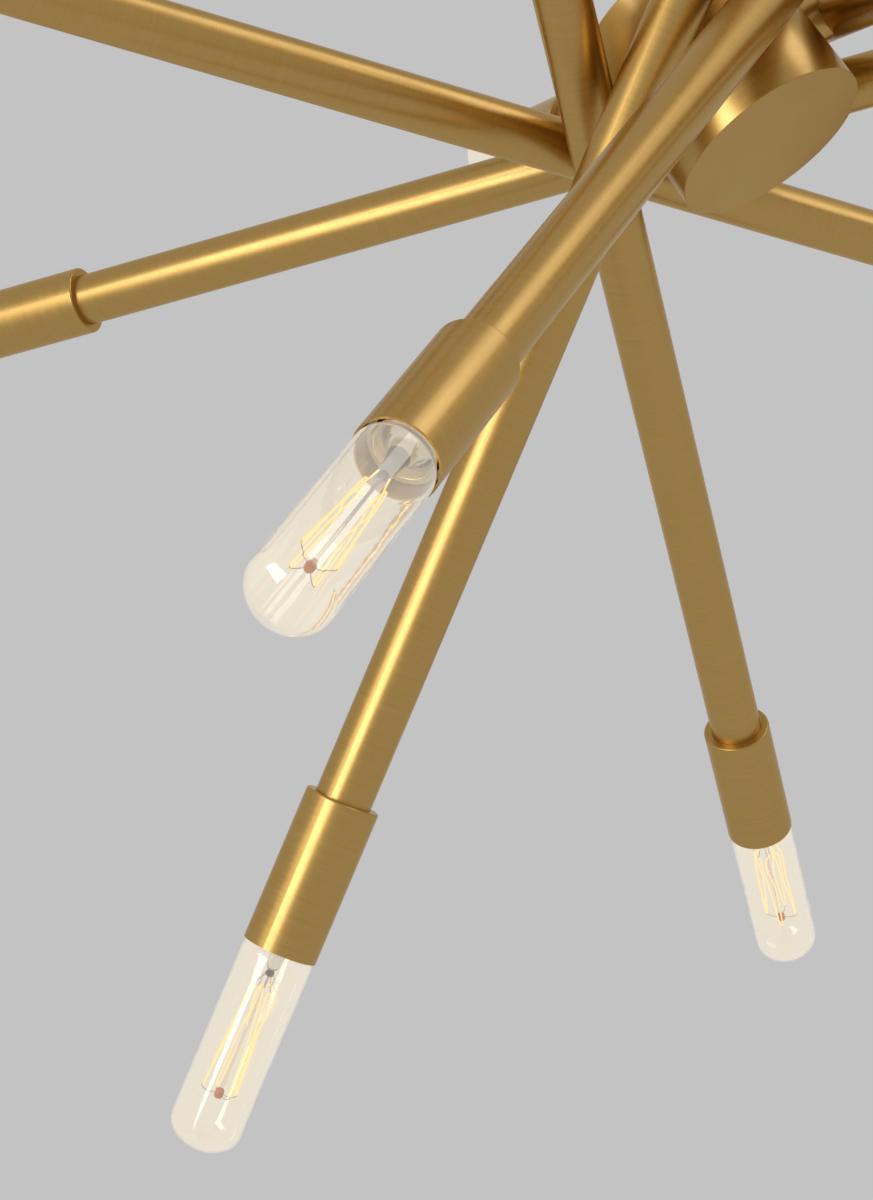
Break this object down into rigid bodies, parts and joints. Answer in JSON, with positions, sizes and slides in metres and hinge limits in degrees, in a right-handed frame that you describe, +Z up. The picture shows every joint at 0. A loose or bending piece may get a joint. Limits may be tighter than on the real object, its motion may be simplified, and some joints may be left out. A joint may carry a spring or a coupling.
{
  "type": "sputnik chandelier",
  "caption": "Brushed brass sputnik chandelier: straight tubes leaning out from a drum on a hanging stem, a clear tubular filament lamp at each tube's ends.",
  "frame": {"origin": "on the ceiling plane, on the lamp's centre line", "axes": "+Z up out of the ceiling, the lamp hangs below Z = 0; +X from the centre line towards the middle of arm 1, along the ceiling plate's length"},
  "size_m": [0.886, 0.9284, 0.8199],
  "materials": {
    "satin_brass": "satin brushed, lacquered",
    "plated_steel": "zinc plated",
    "lampholder": "pale glazed porcelain, gloss",
    "holder_liner": "pressed, bare",
    "lead": "matt sleeve",
    "lamp_glass": "clear with a light champagne tint",
    "lamp_base": "bright screw base"
  },
  "bodies": {
    "ceiling": {"crossbar": "plated_steel", "canopy_studs": "plated_steel", "canopy_cap_nuts": "satin_brass", "canopy": "satin_brass", "swivel_collar": "satin_brass"},
    "swivel_ring": {"swivel_ring": "plated_steel"},
    "swivel_ball": {"swivel_ball": "satin_brass"},
    "fixture": {"arm_leads": "lead", "arm_necks": "satin_brass", "arm_tube_1": "satin_brass", "arm_tube_2": "satin_brass", "arm_tube_3": "satin_brass", "arm_tube_4": "satin_brass", "arm_tube_5": "satin_brass", "arm_tube_6": "satin_brass", "centre_rod": "plated_steel", "cups_arm_1": "satin_brass", "cups_arm_2": "satin_brass", "cups_arm_3": "satin_brass", "cups_arm_4": "satin_brass", "cups_arm_5": "satin_brass", "cups_arm_6": "satin_brass", "drum_bottom_cap": "satin_brass", "drum_shell": "satin_brass", "drum_top_cap": "satin_brass", "holder_liners": "holder_liner", "holder_nipples": "plated_steel", "lampholders": "lampholder", "neck_nuts": "plated_steel", "rod_nut": "plated_steel", "stem_coupling": "satin_brass", "stem_foot": "satin_brass", "stem_lower": "satin_brass", "stem_upper": "satin_brass", "tube_end_plugs": "plated_steel"},
    "bulb_1_low": {"bulb_glass_1_low": "lamp_glass", "bulb_base_1_low": "lamp_base"},
    "bulb_1_high": {"bulb_glass_1_high": "lamp_glass", "bulb_base_1_high": "lamp_base"},
    "bulb_2_low": {"bulb_glass_2_low": "lamp_glass", "bulb_base_2_low": "lamp_base"},
    "bulb_2_high": {"bulb_glass_2_high": "lamp_glass", "bulb_base_2_high": "lamp_base"},
    "bulb_3_low": {"bulb_glass_3_low": "lamp_glass", "bulb_base_3_low": "lamp_base"},
    "bulb_3_high": {"bulb_glass_3_high": "lamp_glass", "bulb_base_3_high": "lamp_base"},
    "bulb_4_low": {"bulb_glass_4_low": "lamp_glass", "bulb_base_4_low": "lamp_base"},
    "bulb_4_high": {"bulb_glass_4_high": "lamp_glass", "bulb_base_4_high": "lamp_base"},
    "bulb_5_low": {"bulb_glass_5_low": "lamp_glass", "bulb_base_5_low": "lamp_base"},
    "bulb_5_high": {"bulb_glass_5_high": "lamp_glass", "bulb_base_5_high": "lamp_base"},
    "bulb_6_low": {"bulb_glass_6_low": "lamp_glass", "bulb_base_6_low": "lamp_base"},
    "bulb_6_high": {"bulb_glass_6_high": "lamp_glass", "bulb_base_6_high": "lamp_base"}
  },
  "joints": [
    {"name": "swivel_tilt_x", "type": "hinge", "parent": "ceiling", "child": "swivel_ring", "pos_m": [0, 0, -0.02], "axis": [1, 0, 0], "range_deg": [-20, 20]},
    {"name": "swivel_tilt_y", "type": "hinge", "parent": "swivel_ring", "child": "swivel_ball", "pos_m": [0, 0, -0.02], "axis": [0, 1, 0], "range_deg": [-20, 20]},
    {"name": "swivel_turn", "type": "hinge", "parent": "swivel_ball", "child": "fixture", "pos_m": [0, 0, -0.02], "axis": [0, 0, 1], "range_deg": [-180, 180]},
    {"name": "unscrew_1_low", "type": "slide", "parent": "fixture", "child": "bulb_1_low", "axis": [0, -0.8796, -0.4756], "range_m": [0, 0.028]},
    {"name": "unscrew_1_high", "type": "slide", "parent": "fixture", "child": "bulb_1_high", "axis": [0, 0.8796, 0.4756], "range_m": [0, 0.028]},
    {"name": "unscrew_2_low", "type": "slide", "parent": "fixture", "child": "bulb_2_low", "axis": [0.7797, -0.4502, -0.4352], "range_m": [0, 0.028]},
    {"name": "unscrew_2_high", "type": "slide", "parent": "fixture", "child": "bulb_2_high", "axis": [-0.7797, 0.4502, 0.4352], "range_m": [0, 0.028]},
    {"name": "unscrew_3_low", "type": "slide", "parent": "fixture", "child": "bulb_3_low", "axis": [0.7661, 0.4423, -0.4664], "range_m": [0, 0.028]},
    {"name": "unscrew_3_high", "type": "slide", "parent": "fixture", "child": "bulb_3_high", "axis": [-0.7661, -0.4423, 0.4664], "range_m": [0, 0.028]},
    {"name": "unscrew_4_low", "type": "slide", "parent": "fixture", "child": "bulb_4_low", "axis": [0, 0.866, -0.5], "range_m": [0, 0.028]},
    {"name": "unscrew_4_high", "type": "slide", "parent": "fixture", "child": "bulb_4_high", "axis": [0, -0.866, 0.5], "range_m": [0, 0.028]},
    {"name": "unscrew_5_low", "type": "slide", "parent": "fixture", "child": "bulb_5_low", "axis": [-0.75, 0.433, -0.5], "range_m": [0, 0.028]},
    {"name": "unscrew_5_high", "type": "slide", "parent": "fixture", "child": "bulb_5_high", "axis": [0.75, -0.433, 0.5], "range_m": [0, 0.028]},
    {"name": "unscrew_6_low", "type": "slide", "parent": "fixture", "child": "bulb_6_low", "axis": [-0.7689, -0.4439, -0.4602], "range_m": [0, 0.028]},
    {"name": "unscrew_6_high", "type": "slide", "parent": "fixture", "child": "bulb_6_high", "axis": [0.7689, 0.4439, 0.4602], "range_m": [0, 0.028]}
  ]
}
